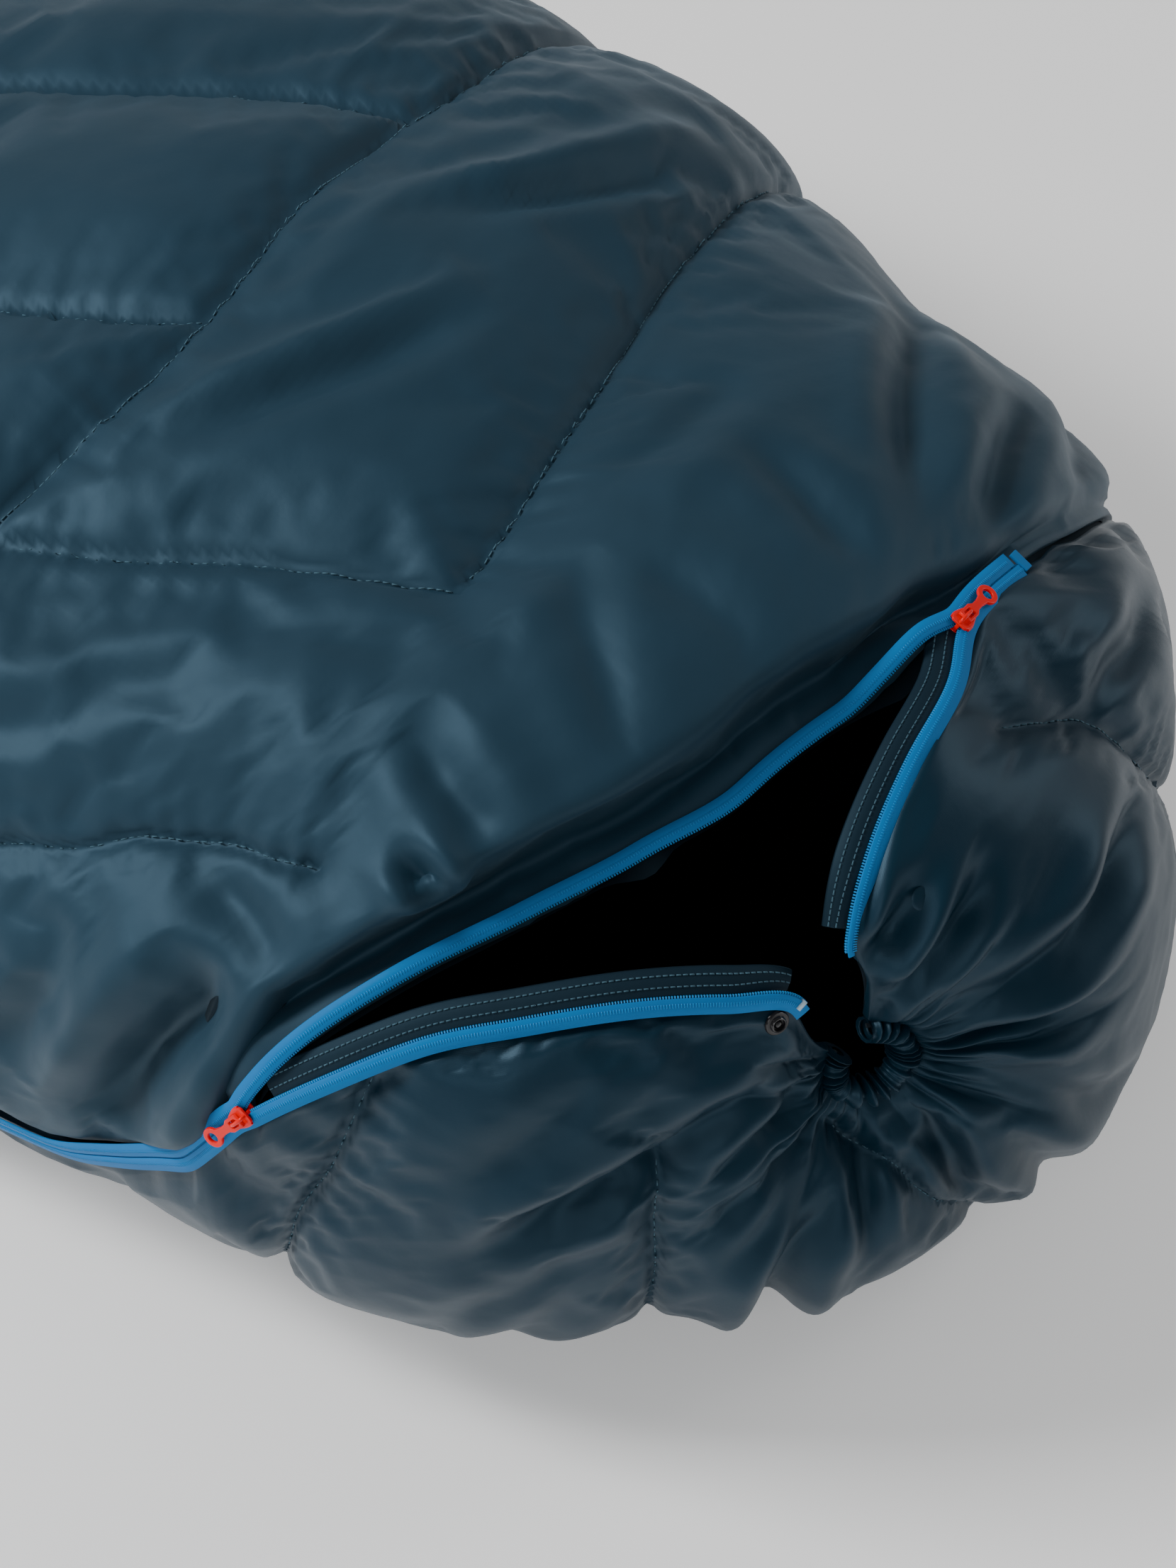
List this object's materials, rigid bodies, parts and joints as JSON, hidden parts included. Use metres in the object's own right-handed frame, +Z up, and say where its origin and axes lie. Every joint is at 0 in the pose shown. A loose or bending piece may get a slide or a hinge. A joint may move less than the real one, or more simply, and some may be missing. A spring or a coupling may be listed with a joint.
{
  "type": "rectangular sleeping bag",
  "caption": "Puffed rectangular quilted sleeping bag with a zip along one side and across the foot, a gathered foot flap with a snap, and red zip sliders.",
  "frame": {"origin": "on the ground under the middle of the puffed bag's bounding box", "axes": "+Z up; +Y from the foot to the open head end; -X to the long side with the zip, +X to the folded long side"},
  "size_m": [0.8121, 2.0224, 0.3946],
  "materials": {
    "shell": "satin quilted polyester",
    "fill": "hollow-fibre batting",
    "lining": "matt woven lining",
    "tape": "woven zip tape",
    "coil": "nylon coil",
    "slider": "gloss red",
    "puller": "gloss red",
    "snap": "gloss black",
    "elastic": "braided elastic",
    "binding": "woven binding"
  },
  "bodies": {
    "bag": {"top_shell": "shell", "top_fill": "fill", "top_lining": "lining", "zip_tape_top": "tape", "zip_coil_top": "coil", "bottom_shell": "shell", "bottom_fill": "fill", "bottom_lining": "lining", "zip_tape_bottom": "tape", "zip_coil_bottom": "coil", "foot_shell": "shell", "foot_fill": "fill", "foot_lining": "lining", "zip_tape_foot": "tape", "zip_coil_foot": "coil", "snap_stud_outer": "snap", "snap_stud_inner": "snap", "snap_socket_outer": "snap", "snap_socket_inner": "snap", "foot_elastic_cord": "elastic", "foot_hem_sleeve": "shell", "head_binding_top": "binding", "head_binding_bottom": "binding", "side_draft_tube": "lining", "near_facing": "lining", "far_facing": "lining", "zip_blind_end_stop": "coil", "zip_head_stop_top": "coil", "zip_head_stop_bottom": "coil"},
    "side_slider": {"side_slider_body": "slider", "side_slider_bridge": "slider"},
    "side_pull": {"side_puller": "puller"},
    "foot_slider": {"foot_slider_body": "slider", "foot_slider_bridge": "slider"},
    "foot_pull": {"foot_puller": "puller"},
    "head_slider": {"head_slider_body": "slider", "head_slider_bridge": "slider"},
    "head_pull": {"head_puller": "puller"}
  },
  "joints": [
    {"name": "side_slide", "type": "slide", "parent": "bag", "child": "side_slider", "axis": [-0.2047, 0.5728, -0.7937], "range_m": [0, 0.02], "deforming": ["zip_tape_top", "zip_coil_top", "zip_tape_bottom", "zip_coil_bottom"]},
    {"name": "side_pull_hinge", "type": "hinge", "parent": "side_slider", "child": "side_pull", "pos_m": [-0.33101, -0.75796, 0.20725], "axis": [-0.104, 0.7936, 0.5995], "range_deg": [0, 150]},
    {"name": "foot_slide", "type": "slide", "parent": "bag", "child": "foot_slider", "axis": [0.9695, 0.1879, -0.1572], "range_m": [0, 0.04], "deforming": ["zip_tape_top", "zip_coil_top", "zip_tape_foot", "zip_coil_foot"]},
    {"name": "foot_pull_hinge", "type": "hinge", "parent": "foot_slider", "child": "foot_pull", "pos_m": [0.03079, -0.8877, 0.35589], "axis": [0.1032, -0.8951, -0.4337], "range_deg": [0, 150]},
    {"name": "head_slide", "type": "slide", "parent": "bag", "child": "head_slider", "axis": [0, -1, 0], "range_m": [0, 0.5], "deforming": ["zip_tape_top", "zip_coil_top", "zip_tape_bottom", "zip_coil_bottom"]},
    {"name": "head_pull_hinge", "type": "hinge", "parent": "head_slider", "child": "head_pull", "pos_m": [-0.40475, 0.965, 0.08501], "axis": [-0.0013, 0, -1], "range_deg": [0, 150]}
  ]
}
